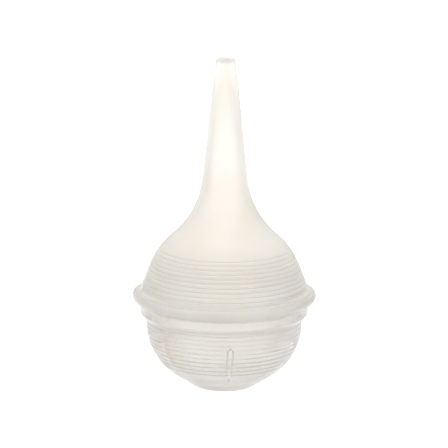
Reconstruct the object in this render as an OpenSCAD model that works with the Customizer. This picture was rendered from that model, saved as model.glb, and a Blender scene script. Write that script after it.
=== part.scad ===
// Two-piece bulb aspirator: a nozzle half with a finger flange plugs over a ribbed squeeze cup.
// Z runs up the nozzle. The origin is the centre of the foot's underside, so the part stands on z = 0.
// Azimuth 0 is the front (-Y), and it grows towards +X.

/* [Overall] */
// Height from the foot to the tip
total_h = 100; // [92:0.5:110]
// Wall thickness of both bulb shells
wall = 1.8; // [1.2:0.1:2.2]

/* [Nozzle] */
// Outer radius of the rim at the tip
tip_r = 2.85; // [2.5:0.05:3.2]
// Radius of the bore at the tip
bore_r = 1.2; // [0.8:0.1:1.5]
// Length of the straight bore at the tip
bore_len = 5; // [3:0.5:8]
// Outer radius where the quick taper of the tip ends
neck_r = 4.36; // [4.2:0.02:4.8]
// Height where the quick taper of the tip ends
neck_z = 87.5; // [84:0.5:89]
// Taper angle of the nozzle below the neck
taper = 6; // [5:0.5:7]
// Radius of the hollow flare from nozzle to shoulder
flare_r = 26.5; // [24:0.1:28]

/* [Shoulder] */
// Radius of the round shoulder
dome_r = 24.56; // [24.2:0.02:24.9]
// Height of the shoulder's centre
dome_z = 27.56; // [27.3:0.02:27.9]
// Height below which the shoulder runs straight to the flange
skirt_z = 36; // [35:0.5:37.5]
// Radius where the shoulder meets the flange
crease_r = 25; // [24.9:0.05:25.2]
// Radius of the hollow fillet between shoulder and flange
crease_fillet = 1.4; // [1:0.1:1.6]
// Angle on the shoulder of the highest groove
dome_groove_top = 36.3; // [35.8:0.1:36.8]
// Angle between grooves on the shoulder
dome_groove_step = 3.17; // [3.1:0.01:3.2]
// Number of grooves on the shoulder
dome_grooves = 9; // [6:1:9]

/* [Flange] */
// Outer radius of the finger flange
flange_r = 27.65; // [27.4:0.05:28]
// Height of the flange's middle
flange_z = 27.8; // [27.6:0.1:28]
// Radius of the flange's round edge
flange_nose = 1.7; // [1.5:0.1:1.9]
// Height of the parting line between flange and cup
parting_z = 25.2; // [25:0.1:25.5]

/* [Cup] */
// Radius of the ledge under the parting line
ledge_r = 25.35; // [25.2:0.05:25.6]
// Height of the ledge's lower edge
ledge_low_z = 22.7; // [22.4:0.1:23]
// Height where the ledge's taper meets the round wall
joint_z = 20.3; // [20.1:0.1:20.6]
// Radius of the round wall's curve
cup_r = 18.5; // [18.3:0.1:18.7]
// Distance of that curve's centre from the axis
cup_c = 5; // [4.8:0.1:5.2]
// Height of that curve's centre
cup_z = 19.4; // [19.2:0.1:19.6]
// Angle of the plain bottom cone above the ground
cone_angle = 32.4; // [31.5:0.1:33]
// Height of the highest groove on the cup
cup_groove_top = 19; // [18.6:0.1:19.2]
// Height between grooves on the cup
cup_groove_pitch = 1.394; // [1.36:0.002:1.42]
// Number of grooves on the cup
cup_grooves = 9; // [6:1:9]

/* [Spigot] */
// Outer radius of the spigot that plugs into the flange
spigot_r = 23.6; // [23.4:0.05:23.8]
// Inner radius of the spigot
spigot_bore = 22; // [21.8:0.1:22.1]
// Height of the spigot's top edge
spigot_top = 29; // [28:0.1:29.2]
// Radial clearance of the spigot in its socket
fit_gap = 0.08; // [0.05:0.01:0.1]

/* [Foot] */
// Radius of the thumb pad, whose underside is the flat foot
pad_r = 10.8; // [10.4:0.1:11.2]
// Thickness of the thumb pad
pad_t = 3.2; // [3:0.1:3.6]
// Gap round the thumb pad, where the wall starts to bend
pad_gap = 0.1; // [0.05:0.05:0.2]

/* [Inner ribs] */
// Number of upright ribs inside the cup
rib_count = 6; // [3:1:8]
// Azimuth of the first rib
rib_azimuth = 5; // [0:5:55]
// Width of a rib
rib_w = 2; // [1.2:0.1:2]
// Height of a rib above the inside of the wall
rib_h = 1.1; // [0.8:0.1:1.4]
// Height of the ribs' round tops
rib_top = 16.4; // [15:0.2:18]
// Height of the ribs' lower ends
rib_low = 7.2; // [6.8:0.2:8]

/* [Fine ribbing] */
// Depth of a groove
groove_d = 0.25; // [0.1:0.05:0.35]
// Width of a groove
groove_w = 0.5; // [0.3:0.1:0.8]

/* [Hidden] */
$fn = 96;
edge_r = 0.4;                            // rounding of small edges
arc_n = 16;                              // straight steps in a drawn arc
socket_r = spigot_r + fit_gap;
socket_top = spigot_top + 0.3;
flange_low_r = ledge_r + 0.1;            // the flange is a touch wider than the ledge it sits on
shell_colour = [0.93, 0.91, 0.88, 0.8];

// Points along an arc about [r, z], both ends included
function arc(r, z, radius, from, to, n = arc_n) =
    [for (i = [0:n]) let (a = from + (to - from) * i / n) [r + radius * cos(a), z + radius * sin(a)]];

// The flare touches the tapered nozzle at one end and the ball of the shoulder at the other.
// from_r, from_z: the flare's centre if it started at the neck. slip: how far down the taper it slides
// from there until it touches the ball.
from_r = neck_r + flare_r * cos(taper);
from_z = neck_z + flare_r * sin(taper) - dome_z;
along = from_r * sin(taper) - from_z * cos(taper);
slip = -along - sqrt(pow(along, 2) - pow(from_r, 2) - pow(from_z, 2) + pow(dome_r + flare_r, 2));
flare_c = [from_r + slip * sin(taper), dome_z + from_z - slip * cos(taper)];
flare_end = atan((flare_c[1] - dome_z) / flare_c[0]);

// The flare's arc from the nozzle to the ball, at a depth inside the outer surface
function flare_arc(depth) =
    arc(flare_c[0], flare_c[1], flare_r + depth, 180 + taper, 180 + flare_end);

// The flange's round edge starts at nose_top, where the fillet under the shoulder ends
nose_r = flange_r - flange_nose;
nose_top = acos((crease_r + crease_fillet - nose_r) / flange_nose);
crease_z = flange_z + flange_nose * sin(nose_top) + crease_fillet;

// Outer radius of the shoulder at a height: a ball above, a straight skirt below
function ball_r(z, radius, centre) = sqrt(radius * radius - pow(z - centre, 2));
function shoulder_r(z) =
    let (top = ball_r(skirt_z, dome_r, dome_z))
    z >= skirt_z
        ? ball_r(z, dome_r, dome_z)
        : top + (crease_r - top) * (skirt_z - z) / (skirt_z - crease_z);

// Three points of a groove in a shell's outline, from the top down
function groove(z, upper_r, middle_r, lower_r) =
    [[upper_r, z + groove_w / 2], [middle_r - groove_d, z], [lower_r, z - groove_w / 2]];

function dome_groove_z(i) = dome_z + dome_r * sin(dome_groove_top - i * dome_groove_step);
function cup_groove_z(i) = cup_groove_top - i * cup_groove_pitch;

// Radius of the cup's round wall at a height, at a depth inside the outer surface
function cup_wall_r(z, depth = 0) = cup_c + ball_r(z, cup_r - depth, cup_z);

// Where the round wall turns into the bottom cone, and the cone's radius at a height
function cone_top(depth = 0) =
    [cup_c + (cup_r - depth) * sin(cone_angle), cup_z - (cup_r - depth) * cos(cone_angle)];
function cone_r(z, depth = 0) =
    let (top = cone_top(depth))
    top[0] - (top[1] - z) / tan(cone_angle);

module ring_of(outline) {
    rotate_extrude() polygon(outline);
}

module nozzle_half() {
    inner_flare = flare_arc(wall);
    ceiling_low = asin((socket_top - dome_z) / (dome_r - wall));
    grooves = [
        for (i = [0:dome_grooves - 1])
            let (z = dome_groove_z(i), w = groove_w / 2)
            each groove(z, shoulder_r(z + w), shoulder_r(z), shoulder_r(z - w))
    ];
    color(shell_colour)
    ring_of([
        each arc(tip_r - edge_r, total_h - edge_r, edge_r, 90, 0, 4),
        [neck_r, neck_z],
        each flare_arc(0),
        each grooves,
        each arc(crease_r + crease_fillet, crease_z, crease_fillet, 180, 270, 6),
        each arc(nose_r, flange_z, flange_nose, nose_top - 10, 0, 7),
        each arc(nose_r, flange_z, flange_nose, -10, -80, 7),
        [flange_low_r, parting_z],
        [socket_r, parting_z],
        [socket_r, socket_top],
        each arc(0, dome_z, dome_r - wall, ceiling_low, flare_end),
        for (i = [arc_n - 1:-1:0]) inner_flare[i],
        [neck_r - wall, neck_z],
        [bore_r, total_h - bore_len],
        [bore_r, total_h]
    ]);
}

module cup_rim() {
    inner_joint_r = cup_wall_r(joint_z, wall);
    color(shell_colour)
    ring_of([
        [spigot_bore, spigot_top],
        [spigot_r - edge_r, spigot_top],
        [spigot_r, spigot_top - edge_r],
        [spigot_r, parting_z],
        [ledge_r, parting_z],
        [ledge_r, ledge_low_z],
        [cup_wall_r(joint_z), joint_z],
        [inner_joint_r, joint_z],
        [spigot_bore, joint_z + 1]
    ]);
}

// The bendable wall: a grooved bowl on a plain cone, hollow inside, open at the joint and round the pad
module cup_shell() {
    grooves = [
        for (i = [0:cup_grooves - 1])
            let (z = cup_groove_z(i), w = groove_w / 2)
            each groove(z, cup_wall_r(z + w), cup_wall_r(z), cup_wall_r(z - w))
    ];
    inner_start = cone_angle - 90;
    inner_end = asin((joint_z - cup_z) / (cup_r - wall));
    outer_end = asin((cup_groove_z(cup_grooves - 1) - groove_w - cup_z) / cup_r);
    hole_r = pad_r + pad_gap;
    ring_of([
        [cup_wall_r(joint_z), joint_z],
        each grooves,
        each arc(cup_c, cup_z, cup_r, outer_end, inner_start, 5),
        [hole_r, (hole_r - cone_r(0)) * tan(cone_angle)],
        [hole_r, pad_t],
        [cone_r(pad_t, wall), pad_t],
        each arc(cup_c, cup_z, cup_r - wall, inner_start, inner_end)
    ]);
}

// One upright rib on the inside of the wall, at azimuth 0
module inner_rib() {
    bite = 0.5;
    outer = cup_r - wall + bite;
    inner = cup_r - wall - rib_h;
    reach = cup_c + outer;
    intersection() {
        rotate_extrude()
        polygon([
            each arc(cup_c, cup_z, outer, -80, 0),
            each arc(cup_c, cup_z, inner, 0, -80)
        ]);
        union() {
            translate([-rib_w / 2, -reach, rib_low])
            cube([rib_w, reach, rib_top - rib_w / 2 - rib_low]);
            translate([0, 0, rib_top - rib_w / 2])
            rotate([90, 0, 0])
            cylinder(r = rib_w / 2, h = reach);
        }
    }
}

module cup_wall() {
    color(shell_colour)
    union() {
        cup_shell();
        for (i = [0:rib_count - 1])
            rotate([0, 0, rib_azimuth + i * 360 / rib_count])
            inner_rib();
    }
}

// The pad's underside is the flat foot, and its bevelled side continues the cone
module thumb_pad() {
    color(shell_colour)
    ring_of([
        [0, 0],
        [cone_r(0) - edge_r, 0],
        [cone_r(edge_r / 2), edge_r / 2],
        [pad_r, (pad_r - cone_r(0)) * tan(cone_angle)],
        [pad_r, pad_t],
        [0, pad_t]
    ]);
}

nozzle_half();
cup_rim();
cup_wall();
thumb_pad();
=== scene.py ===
import math

import bmesh
import bpy
import numpy as np
from mathutils import Matrix, Vector


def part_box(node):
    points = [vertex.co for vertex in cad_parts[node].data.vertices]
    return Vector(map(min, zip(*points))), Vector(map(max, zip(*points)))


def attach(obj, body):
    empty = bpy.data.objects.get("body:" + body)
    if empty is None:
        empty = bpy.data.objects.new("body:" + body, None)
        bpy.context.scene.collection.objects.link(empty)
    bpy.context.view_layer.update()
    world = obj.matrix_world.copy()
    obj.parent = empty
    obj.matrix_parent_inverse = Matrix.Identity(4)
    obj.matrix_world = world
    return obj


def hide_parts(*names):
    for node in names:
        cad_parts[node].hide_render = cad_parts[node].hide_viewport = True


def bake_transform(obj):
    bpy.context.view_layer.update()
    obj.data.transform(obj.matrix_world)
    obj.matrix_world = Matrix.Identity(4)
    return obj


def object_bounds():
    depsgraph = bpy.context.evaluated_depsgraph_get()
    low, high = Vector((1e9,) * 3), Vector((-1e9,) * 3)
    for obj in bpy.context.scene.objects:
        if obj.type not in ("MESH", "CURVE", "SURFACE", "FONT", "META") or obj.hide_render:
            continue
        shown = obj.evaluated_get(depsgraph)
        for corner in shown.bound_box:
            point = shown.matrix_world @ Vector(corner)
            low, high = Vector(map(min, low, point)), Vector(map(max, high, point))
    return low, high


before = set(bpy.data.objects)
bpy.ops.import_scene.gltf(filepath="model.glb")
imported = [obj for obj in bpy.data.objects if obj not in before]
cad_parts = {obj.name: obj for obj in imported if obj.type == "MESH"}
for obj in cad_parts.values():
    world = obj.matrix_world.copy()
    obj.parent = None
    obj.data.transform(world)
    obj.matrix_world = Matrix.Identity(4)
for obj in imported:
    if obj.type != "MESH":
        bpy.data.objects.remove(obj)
cad_low, cad_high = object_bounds()

MM = 0.001

# ---------------------------------------------------------------- sizes taken from the CAD, in mm
HEIGHT = cad_high.z / MM
FLANGE_R = cad_high.x / MM
PAD_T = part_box("thumb_pad")[1].z / MM
LEDGE_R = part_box("cup_rim")[1].x / MM
SPIGOT_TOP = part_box("cup_rim")[1].z / MM
JOINT_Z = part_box("cup_wall")[1].z / MM
PARTING_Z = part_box("nozzle_half")[0].z / MM

# ---------------------------------------------------------------- sizes that the boxes don't give, in mm
WALL = 1.8
TIP_R, BORE_R, BORE_LEN = 2.85, 1.2, 5.0
NECK_R, NECK_Z, TAPER = 4.36, 87.5, math.radians(6.0)
FLARE_R = 26.5
DOME_R, DOME_Z = 24.56, 27.56
SKIRT_Z, CREASE_R, CREASE_FILLET = 36.0, 25.0, 1.4
FLANGE_Z, FLANGE_NOSE = 27.8, 1.7
LEDGE_LOW_Z, LEDGE_CORNER = 22.7, (24.5, 21.9)
TIP_ROUND, BORE_ROUND, FOOT_ROUND = 0.5, 0.3, 0.8
CUP_R, CUP_C, CUP_Z, CONE = 18.5, 5.0, 19.4, math.radians(32.4)
SPIGOT_R, SPIGOT_BORE = 23.6, 22.0
SOCKET_R, SOCKET_TOP = 23.68, SPIGOT_TOP + 0.3
RIBS, RIB_AZIMUTH, RIB_W, RIB_H, RIB_TOP, RIB_LOW = 6, 5.0, 2.0, 1.0, 16.4, 7.4
RIB_LINE_H = 0.5
RIB_HALF = RIB_W / 2 / 20.0  # half a rib's width, as an angle in radians about 20 mm from the axis

# middles of the grooves from the top down, at even angles on the shoulder and at even heights on the cup
DOME_GROOVES = [DOME_Z + DOME_R * math.sin(math.radians(36.3 - 3.17 * i)) for i in range(11)]
CUP_GROOVES = [19.0 - 1.394 * i for i in range(-1, 9)]
# depth and half width of one groove
DOME_GROOVE, CREASE_GROOVE, CUP_GROOVE = (0.2, 0.17), (0.2, 0.15), (0.23, 0.17)
# the line round the flange's nose: where and how wide in degrees about the nose, and how deep
NOSE_LINE, NOSE_GROOVE = 56.0, (0.22, 5)

# spacing of an outline's points, wide on plain runs and close across grooves
PLAIN, DOME_FINE, CUP_FINE, RIB_FINE = 0.3, 0.085, 0.09, 0.12
DOME_GROOVED_Z = 43.6
NOZZLE_COLUMNS, GAP_COLUMNS = 160, 20

# ---------------------------------------------------------------- looks
# base colours by height, as a share of the whole height, with painted light and shade: the nozzle lighter
# towards its top, a painted shade band at the flange and crease, a dark painted shade ring on the tip's
# rim
NOZZLE_STOPS = [
    (0.25, (0.93, 0.925, 0.91)),
    (0.285, (0.91, 0.905, 0.89)),
    (0.306, (0.835, 0.825, 0.80)),
    (0.34, (0.84, 0.83, 0.80)),
    (0.4, (0.86, 0.845, 0.81)),
    (0.46, (0.945, 0.92, 0.88)),
    (0.55, (0.97, 0.95, 0.915)),
    (0.7, (0.998, 0.985, 0.962)),
    (0.985, (0.985, 0.975, 0.96)),
    (0.995, (0.66, 0.66, 0.65)),
]
# the cup: painted light at the foot against the shade by the floor, darker up the wall, lighter again near
# the rim
CUP_STOPS = [
    (0.0, (0.999, 0.999, 0.975)),
    (0.045, (0.985, 0.98, 0.96)),
    (0.09, (0.905, 0.90, 0.89)),
    (0.19, (0.90, 0.89, 0.875)),
    (0.225, (0.93, 0.915, 0.895)),
]
CLOUD = (0.86, 0.80, 0.70)
INSIDE = (0.93, 0.91, 0.87)
# roughness, share of light let through, density of the colour inside
NOZZLE_BODY = (0.33, 0.72, 75.0)
CUP_BODY = (0.225, 0.78, 50.0)
SHEEN, IOR = 0.25, 1.45
BUMP, BUMP_HEIGHT, GRAIN_SHARE = 0.05, 0.00012, 0.25
# scales of the noises, per metre
CLOUD_SCALE, GRAIN_SCALE, SWELL_SCALE, GLOSS_SCALE = 55.0, 2600.0, 260.0, 140.0
# roughness goes up and down by the first, and the second is added towards the nozzle's tip
GLOSS_SPREAD, TIP_DULLING = 0.03, 0.2

# the floor, in metres: it glows most in a round pool, and less beside a strip that widens to the back
PAPER, PAPER_ROUGH = (0.25, 0.25, 0.25), 0.8
FLOOR_HALF, FLOOR_DROP = 6.0, 0.00005
FLOOR_GLOW, POOL_GLOW, SIDE_GLOW = 0.88, 1.7, 0.5
POOL_Y, POOL_EDGE = 0.55, (0.15, 0.55)
STRIP_EDGE, STRIP_LENGTH, STRIP_WIDENING = (0.085, 0.3), 1.5, 0.15
WORLD_BACK, WORLD_SIDE, WORLD_FRONT, WORLD_TOP = 0.62, 0.6, 0.62, 1.55
TOP_PLACE, TOP_SIZE, TOP_POWER = (-0.2, -0.2, 1.4), 1.2, 5

TILT, ROLL = math.radians(12.5), math.radians(0.38)
AIM, SHIFT_RIGHT, SHIFT_UP = (0, 0, 0.050), 0.00024, 0.00045
DISTANCE, LENS, SENSOR = 1.0, 267.9, 36


# ---------------------------------------------------------------- outlines: lists of (r, z), in mm
def arc(r, z, radius, start, end, n):
    """n + 1 points on an arc about (r, z), angles in degrees."""
    angles = np.radians(np.linspace(start, end, n + 1))
    return [(r + radius * math.cos(a), z + radius * math.sin(a)) for a in angles]


def line(a, b, spacing):
    """Points from a up to but without b, about a spacing apart."""
    n = max(1, round(math.dist(a, b) / spacing))
    return [(a[0] + (b[0] - a[0]) * i / n, a[1] + (b[1] - a[1]) * i / n) for i in range(n)]


def rounded(points, corners, n=5):
    """The points with some corners rounded: corners gives {index: radius}, and each arc has n steps."""
    out = []
    for i, p in enumerate(points):
        if i not in corners:
            out.append(p)
            continue
        a, b = Vector(points[i - 1]), Vector(points[(i + 1) % len(points)])
        c = Vector(p)
        u, v = (a - c).normalized(), (b - c).normalized()
        half = u.angle(v) / 2
        cut = min(corners[i] / math.tan(half), 0.45 * (a - c).length, 0.45 * (b - c).length)
        radius = cut * math.tan(half)
        centre = c + (u + v).normalized() * (radius / math.sin(half))
        p0, p1 = c + u * cut, c + v * cut
        a0 = math.atan2(p0.y - centre.y, p0.x - centre.x)
        turn = math.atan2(p1.y - centre.y, p1.x - centre.x) - a0
        turn = (turn + math.pi) % (2 * math.pi) - math.pi
        for k in range(n + 1):
            angle = a0 + turn * k / n
            out.append((centre.x + radius * math.cos(angle), centre.y + radius * math.sin(angle)))
    return out


def ball(z, radius, centre):
    """Radius at height z of a ball about the axis."""
    return math.sqrt(max(radius * radius - (z - centre) ** 2, 0.0))


def groove(z, places, shape):
    """How far z is cut back by grooves at the given places, with shape their depth and half width."""
    depth, width = shape
    return depth * max(math.exp(-(((z - p) / width) ** 2)) for p in places)


def shoulder(z):
    """Outer radius of the shoulder without its grooves: a ball above, a straight skirt below."""
    if z >= SKIRT_Z:
        return ball(z, DOME_R, DOME_Z)
    top = ball(SKIRT_Z, DOME_R, DOME_Z)
    return top + (CREASE_R - top) * (SKIRT_Z - z) / (SKIRT_Z - CREASE_Z)


def cup_r(z, depth=0.0):
    """Radius of the cup's wall at a depth inside its outer surface: a bowl above, a plain cone below."""
    radius = CUP_R - depth
    turn_z = CUP_Z - radius * math.cos(CONE)
    if z >= turn_z:
        return CUP_C + ball(z, radius, CUP_Z)
    return CUP_C + radius * math.sin(CONE) - (turn_z - z) / math.tan(CONE)


# the flange's nose is round, and a fillet joins its top to the skirt
NOSE_R = FLANGE_R - FLANGE_NOSE
NOSE_TOP = math.acos((CREASE_R + CREASE_FILLET - NOSE_R) / FLANGE_NOSE)
CREASE_Z = FLANGE_Z + FLANGE_NOSE * math.sin(NOSE_TOP) + CREASE_FILLET

# the flare's centre: its arc touches the tapered nozzle above and the ball of the shoulder below
_r = NECK_R + FLARE_R * math.cos(TAPER)
_z = NECK_Z + FLARE_R * math.sin(TAPER) - DOME_Z
_along = _r * math.sin(TAPER) - _z * math.cos(TAPER)
_slip = -_along - math.sqrt(_along**2 - _r**2 - _z**2 + (DOME_R + FLARE_R) ** 2)
FLARE_C = (_r + _slip * math.sin(TAPER), DOME_Z + _z - _slip * math.cos(TAPER))
FLARE_END = math.degrees(math.atan2(FLARE_C[1] - DOME_Z, FLARE_C[0]))


def nozzle_outline():
    """Closed outline of the nozzle half, from the tip's rim down the outside and back up the inside."""
    tip = rounded([(BORE_R, HEIGHT), (TIP_R, HEIGHT), (NECK_R, NECK_Z)], {1: TIP_ROUND}, 6)[1:-1]
    neck = (NECK_R, NECK_Z)
    flare = arc(*FLARE_C, FLARE_R, 180 + math.degrees(TAPER), 180 + FLARE_END, 40)

    grooved = []
    z = flare[-1][1] - 0.15
    while z > CREASE_Z + 0.1:
        grooved.append((shoulder(z) - groove(z, DOME_GROOVES, DOME_GROOVE), z))
        z -= DOME_FINE if z < DOME_GROOVED_Z else PLAIN
    crease = [
        (r - groove(z, DOME_GROOVES, CREASE_GROOVE), z)
        for r, z in arc(CREASE_R + CREASE_FILLET, CREASE_Z, CREASE_FILLET, 180, 264, 26)
    ]

    nose = []
    for angle in [math.degrees(NOSE_TOP) - 6 - 2.2 * i for i in range(30)] + [-6 * i for i in range(14)]:
        radius = FLANGE_NOSE - groove(angle, [NOSE_LINE], NOSE_GROOVE)
        a = math.radians(angle)
        nose.append((NOSE_R + radius * math.cos(a), FLANGE_Z + radius * math.sin(a)))

    low_angle = math.degrees(math.asin((SOCKET_TOP - DOME_Z) / (DOME_R - WALL)))
    ceiling = arc(0, DOME_Z, DOME_R - WALL, low_angle, FLARE_END, 36)
    socket = [(LEDGE_R + 0.1, PARTING_Z), (SOCKET_R, PARTING_Z), (SOCKET_R, SOCKET_TOP)]
    socket = rounded([nose[-1]] + socket + [ceiling[0]], {1: 0.15, 2: 0.25, 3: 0.3}, 4)[1:-1]

    inner_flare = arc(*FLARE_C, FLARE_R + WALL, 180 + FLARE_END, 180 + math.degrees(TAPER), 30)
    inner_neck = (NECK_R - WALL, NECK_Z)
    bore_low, bore_top = (BORE_R, HEIGHT - BORE_LEN), (BORE_R, HEIGHT)
    bore_rim = rounded([(BORE_R, HEIGHT - 1), bore_top, tip[0]], {1: BORE_ROUND}, 5)[1:-1]
    return (
        tip
        + line(tip[-1], neck, 1.0)[1:]
        + line(neck, flare[0], 1.0)
        + flare
        + grooved
        + crease
        + nose
        + socket
        + ceiling
        + inner_flare[1:]
        + line(inner_flare[-1], inner_neck, 1.0)[1:]
        + line(inner_neck, bore_low, 0.8)
        + line(bore_low, bore_top, 0.8)
        + bore_rim
    )


def cup_outline():
    """Outline of the cup, from the middle of its underside up the outside, over the spigot and down the
    inside to the middle again, and the index where the inside starts."""
    foot = [(7.5, 0.0), (cup_r(0), 0.0), (cup_r(0.8), 0.8)]
    outside = [(0.0, 0.0), (3.0, 0.0), (6.0, 0.0)] + rounded(foot, {1: FOOT_ROUND}, 6)
    z = 1.2
    while z < CUP_GROOVES[-1] - 0.6:
        outside.append((cup_r(z), z))
        z += PLAIN
    while z < JOINT_Z + 0.6:
        wall = cup_r(min(z, JOINT_Z)) + max(z - JOINT_Z, 0.0) * 0.45
        outside.append((wall - groove(z, CUP_GROOVES, CUP_GROOVE), z))
        z += CUP_FINE

    rim = [
        LEDGE_CORNER,
        (LEDGE_R, LEDGE_LOW_Z),
        (LEDGE_R, PARTING_Z),
        (SPIGOT_R, PARTING_Z),
        (SPIGOT_R, SPIGOT_TOP),
        (SPIGOT_BORE, SPIGOT_TOP),
        (SPIGOT_BORE, JOINT_Z + 1),
        (cup_r(JOINT_Z - 0.5, WALL), JOINT_Z - 0.5),
    ]
    rim = rounded([outside[-1]] + rim, {2: 0.5, 3: 0.2, 4: 0.2, 5: 0.4, 6: 0.4, 7: 1.0}, 5)[1:]

    inside = []
    z = JOINT_Z - 0.8
    while z > PAD_T + 0.6:
        inside.append((cup_r(z, WALL), z))
        z -= RIB_FINE if RIB_TOP - 1.6 < z < RIB_TOP + 0.4 else PLAIN
    corner = [inside[-1], (cup_r(PAD_T, WALL), PAD_T), (8.0, PAD_T)]
    floor = rounded(corner, {1: FOOT_ROUND}, 6)[1:] + [(6.0, PAD_T), (3.0, PAD_T), (0.0, PAD_T)]
    return outside + rim + inside + floor, len(outside) + len(rim)


# ---------------------------------------------------------------- meshes
def lathe(name, outline, azimuths, closed, push=None):
    """A turned mesh. An outline that isn't closed starts and ends on the axis.
    push(index, azimuth, r, z) gives the (r, z) that a point moves to."""
    m = len(azimuths)
    rings = range(len(outline)) if closed else range(1, len(outline) - 1)
    verts = []
    for i in rings:
        for a in azimuths:
            r, z = push(i, a, *outline[i]) if push else outline[i]
            verts.append((r * math.sin(a) * MM, -r * math.cos(a) * MM, z * MM))

    faces = []
    k = len(rings)
    for i in range(k if closed else k - 1):
        j = (i + 1) % k
        for c in range(m):
            d = (c + 1) % m
            faces.append((i * m + c, j * m + c, j * m + d, i * m + d))
    if not closed:
        low, high = len(verts), len(verts) + 1
        verts += [(0, 0, outline[0][1] * MM), (0, 0, outline[-1][1] * MM)]
        for c in range(m):
            d = (c + 1) % m
            faces.append((low, c, d))
            faces.append((high, (k - 1) * m + d, (k - 1) * m + c))

    mesh = bpy.data.meshes.new(name)
    mesh.from_pydata(verts, [], faces)
    mesh.update()
    bm = bmesh.new()
    bm.from_mesh(mesh)
    bmesh.ops.recalc_face_normals(bm, faces=bm.faces)
    bm.to_mesh(mesh)
    bm.free()
    for p in mesh.polygons:
        p.use_smooth = True
    return add_object(name, mesh)


def add_object(name, data):
    obj = bpy.data.objects.new(name, data)
    bpy.context.scene.collection.objects.link(obj)
    return obj


def step(x, low, high):
    """A smooth rise from 0 at low to 1 at high."""
    t = min(max((x - low) / (high - low), 0.0), 1.0)
    return t * t * (3 - 2 * t)


def cup_azimuths():
    """Columns of the cup's mesh: evenly spread, and close together at the flanks of each rib."""
    half = math.degrees(RIB_HALF)
    close = [0, 0.25, 0.46, 0.56, 0.66, 0.76, 0.86, 0.96, 1.06, 1.2, 1.4]
    local = sorted({s * k * half for k in close for s in (-1, 1)})
    pitch = 360 / RIBS
    gap = np.linspace(close[-1] * half, pitch - close[-1] * half, GAP_COLUMNS)[1:-1]
    one = local + list(gap)
    return [math.radians(RIB_AZIMUTH + pitch * k + a) for k in range(RIBS) for a in one]


def build_cup():
    outline, inside_from = cup_outline()

    def push(i, a, r, z):
        """Raises the upright ribs: each has a half round top, and shrinks to a fine line near the foot."""
        if i < inside_from or z > RIB_TOP or z < PAD_T + 0.05:
            return r, z
        pitch = 2 * math.pi / RIBS
        off = (a - math.radians(RIB_AZIMUTH) + pitch / 2) % pitch - pitch / 2
        aside = abs(off) / RIB_HALF
        up = (z - (RIB_TOP - RIB_W / 2)) / (RIB_W / 2)
        d = math.hypot(aside, up) if up > 0 else aside
        rib = RIB_H * (1 - step(d, 0.42, 1.12)) * step(z, RIB_LOW - 0.5, RIB_LOW + 0.5)
        fine = RIB_LINE_H * (1 - step(aside, 0.1, 0.4)) * step(z, PAD_T, PAD_T + 0.8)
        h = max(rib, fine)
        return r - h, z + h * 0.3

    return lathe("squeeze_cup", outline, cup_azimuths(), False, push)


def build_nozzle():
    azimuths = [2 * math.pi * k / NOZZLE_COLUMNS for k in range(NOZZLE_COLUMNS)]
    return lathe("nozzle_shell", nozzle_outline(), azimuths, True)


# ---------------------------------------------------------------- materials
class Nodes:
    """Short names for building a node tree. A value that is a socket is linked, and any other is set."""

    def __init__(self, tree):
        self.tree = tree

    def put(self, socket, value):
        if isinstance(value, bpy.types.NodeSocket):
            self.tree.links.new(value, socket)
        else:
            socket.default_value = value

    def add(self, kind, inputs=None, **settings):
        node = self.tree.nodes.new("ShaderNode" + kind)
        for key, value in settings.items():
            setattr(node, key, value)
        for key, value in (inputs or {}).items():
            self.put(node.inputs[key], value)
        return node

    def math(self, operation, a, b=0.0):
        return self.add("Math", {0: a, 1: b}, operation=operation).outputs[0]

    def remap(self, value, low, high, to_low, to_high, kind="LINEAR"):
        inputs = {"Value": value, "From Min": low, "From Max": high, "To Min": to_low, "To Max": to_high}
        return self.add("MapRange", inputs, interpolation_type=kind).outputs[0]

    def noise(self, vector, scale, detail, rough=0.5):
        inputs = {"Vector": vector, "Scale": scale, "Detail": detail, "Roughness": rough}
        return self.add("TexNoise", inputs).outputs[0]

    def mix(self, factor, a, b):
        """A blend of two numbers."""
        return self.add("Mix", {"Factor": factor, 2: a, 3: b}).outputs[0]

    def mix_colours(self, factor, a, b):
        return self.add("Mix", {"Factor": factor, 6: a, 7: b}, data_type="RGBA").outputs[2]

    def ramp(self, value, stops):
        node = self.add("ValToRGB", {"Fac": value})
        elements = node.color_ramp.elements
        for k, (place, colour) in enumerate(stops):
            e = elements[k] if k < 2 else elements.new(place)
            e.position = place
            e.color = (*colour, 1)
        return node.outputs[0]


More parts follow.
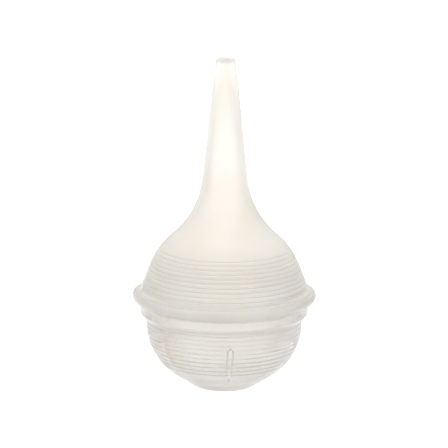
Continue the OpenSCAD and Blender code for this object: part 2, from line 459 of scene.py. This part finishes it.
def plastic(name, stops, seed, roughness, clear, density):
    """Milky moulded plastic: a satin skin over a clear body with a little cloud in it. Its base colour is
    painted lighter and darker by height, as painted light and shade.
    """
    m = bpy.data.materials.new(name)
    m.use_nodes = True
    m.node_tree.nodes.clear()
    n = Nodes(m.node_tree)
    place = n.add("TexCoord").outputs["Object"]
    shifted = n.add("VectorMath", {0: place, 1: (0.37 * seed, 0.21 * seed, 0.13 * seed)}).outputs[0]
    height = n.math("DIVIDE", n.add("SeparateXYZ", {0: place}).outputs["Z"], HEIGHT * MM)

    cloud = n.noise(shifted, CLOUD_SCALE, 3.0, 0.55)
    # painted light and shade: the base colour goes lighter and darker by height, from the stops
    milk_and_painted_shading = n.ramp(height, stops)
    cloud_over_painted_shading = n.mix_colours(0.5, milk_and_painted_shading, (*CLOUD, 1))
    cloud_and_painted_shading = n.mix_colours(n.remap(cloud, 0.35, 0.7, 0.0, 1.0), milk_and_painted_shading, cloud_over_painted_shading)

    grain = n.noise(shifted, GRAIN_SCALE, 2.0, 0.6)
    swell = n.noise(shifted, SWELL_SCALE, 3.0)
    relief = n.math("ADD", n.math("MULTIPLY", grain, GRAIN_SHARE), swell)
    bump = n.add("Bump", {"Strength": BUMP, "Distance": BUMP_HEIGHT, "Height": relief}).outputs[0]
    gloss = n.noise(shifted, GLOSS_SCALE, 3.0)
    rough = n.remap(gloss, 0.3, 0.7, roughness - GLOSS_SPREAD, roughness + GLOSS_SPREAD)
    rough = n.math("ADD", rough, n.remap(height, 0.75, 0.92, 0.0, TIP_DULLING))

    skin = n.add("BsdfPrincipled", {
        "Base Color": cloud_and_painted_shading,
        "Transmission Weight": clear,
        "Roughness": rough,
        "IOR": IOR,
        "Specular IOR Level": SHEEN,
        "Normal": bump,
    }).outputs[0]
    body = n.add("VolumeAbsorption", {"Color": (*INSIDE, 1), "Density": density}).outputs[0]
    n.add("OutputMaterial", {"Surface": skin, "Volume": body})
    return m


# ---------------------------------------------------------------- stage, lights, camera
def add_floor():
    """Paper that glows by itself, so nothing throws a shadow on it. It glows more behind the object."""
    paper = bpy.data.materials.new("paper")
    paper.use_nodes = True
    n = Nodes(paper.node_tree)
    place = n.add("TexCoord").outputs["Object"]
    far = n.add("VectorMath", {0: place, 1: (0, POOL_Y, 0)}, operation="DISTANCE").outputs["Value"]
    pool = n.remap(far, *POOL_EDGE, POOL_GLOW, FLOOR_GLOW, "SMOOTHSTEP")
    where = n.add("SeparateXYZ", {0: place}).outputs
    widening = n.remap(where["Y"], 0.0, STRIP_LENGTH, 0.0, STRIP_WIDENING)
    aside = n.math("SUBTRACT", n.math("ABSOLUTE", where["X"]), widening)
    glow = n.math("MULTIPLY", pool, n.remap(aside, *STRIP_EDGE, 1.0, SIDE_GLOW, "SMOOTHSTEP"))
    surface = paper.node_tree.nodes["Principled BSDF"].inputs
    n.put(surface["Base Color"], (*PAPER, 1))
    n.put(surface["Roughness"], PAPER_ROUGH)
    n.put(surface["Emission Color"], (1, 1, 1, 1))
    n.put(surface["Emission Strength"], glow)

    s = FLOOR_HALF
    mesh = bpy.data.meshes.new("floor")
    mesh.from_pydata([(-s, -s, 0), (s, -s, 0), (s, s, 0), (-s, s, 0)], [], [(0, 1, 2, 3)])
    mesh.materials.append(paper)
    floor = add_object("floor", mesh)
    floor.location.z = -FLOOR_DROP


def add_world():
    """A white tent, much brighter overhead than at the sides."""
    world = bpy.data.worlds.new("studio")
    bpy.context.scene.world = world
    world.use_nodes = True
    n = Nodes(world.node_tree)
    way = n.add("SeparateXYZ", {0: n.add("TexCoord").outputs["Generated"]}).outputs
    side = n.remap(n.math("ABSOLUTE", way["X"]), 0.2, 0.8, 0.0, 1.0, "SMOOTHSTEP")
    front = n.remap(way["Y"], 0.3, -0.6, WORLD_BACK, WORLD_FRONT, "SMOOTHSTEP")
    over = n.remap(way["Z"], 0.0, 0.45, 0.0, 1.0, "SMOOTHSTEP")
    background = world.node_tree.nodes["Background"].inputs
    n.put(background["Color"], (1, 1, 1, 1))
    n.put(background["Strength"], n.mix(over, n.mix(side, front, WORLD_SIDE), WORLD_TOP))


def add_softbox():
    """A large square light above, a little to the front and left."""
    light = bpy.data.lights.new("top_box", "AREA")
    light.shape = "RECTANGLE"
    light.size = light.size_y = TOP_SIZE
    light.energy = TOP_POWER
    obj = add_object("top_box", light)
    obj.location = TOP_PLACE
    towards = Vector((0, 0, 0.03)) - Vector(TOP_PLACE)
    obj.rotation_euler = towards.to_track_quat("-Z", "Y").to_euler()


def add_camera():
    """The photograph's view: from the front, a little above and far away, leaning a third of a degree."""
    back = Vector((0, -math.cos(TILT), math.sin(TILT)))
    right = Vector((1, 0, 0))
    up = back.cross(right)
    lean_right = right * math.cos(ROLL) + up * math.sin(ROLL)
    lean_up = up * math.cos(ROLL) - right * math.sin(ROLL)
    place = Vector(AIM) + back * DISTANCE - right * SHIFT_RIGHT - up * SHIFT_UP
    data = bpy.data.cameras.new("camera")
    data.sensor_width = SENSOR
    data.lens = LENS
    data.clip_start, data.clip_end = 0.05, 50
    cam = add_object("camera", data)
    cam.matrix_world = Matrix((
        (lean_right.x, lean_up.x, back.x, place.x),
        (lean_right.y, lean_up.y, back.y, place.y),
        (lean_right.z, lean_up.z, back.z, place.z),
        (0, 0, 0, 1),
    ))
    bpy.context.scene.camera = cam


# ---------------------------------------------------------------- the scene
add_camera()
add_world()
add_softbox()
add_floor()

nozzle = build_nozzle()
nozzle.data.materials.append(plastic("milky_nozzle", NOZZLE_STOPS, 1, *NOZZLE_BODY))
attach(nozzle, "nozzle")
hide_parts("nozzle_half")

cup = build_cup()
cup.data.materials.append(plastic("milky_cup", CUP_STOPS, 2, *CUP_BODY))
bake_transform(cup)
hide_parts("cup_rim", "cup_wall", "thumb_pad")

bpy.context.scene.view_settings.view_transform = "Standard"
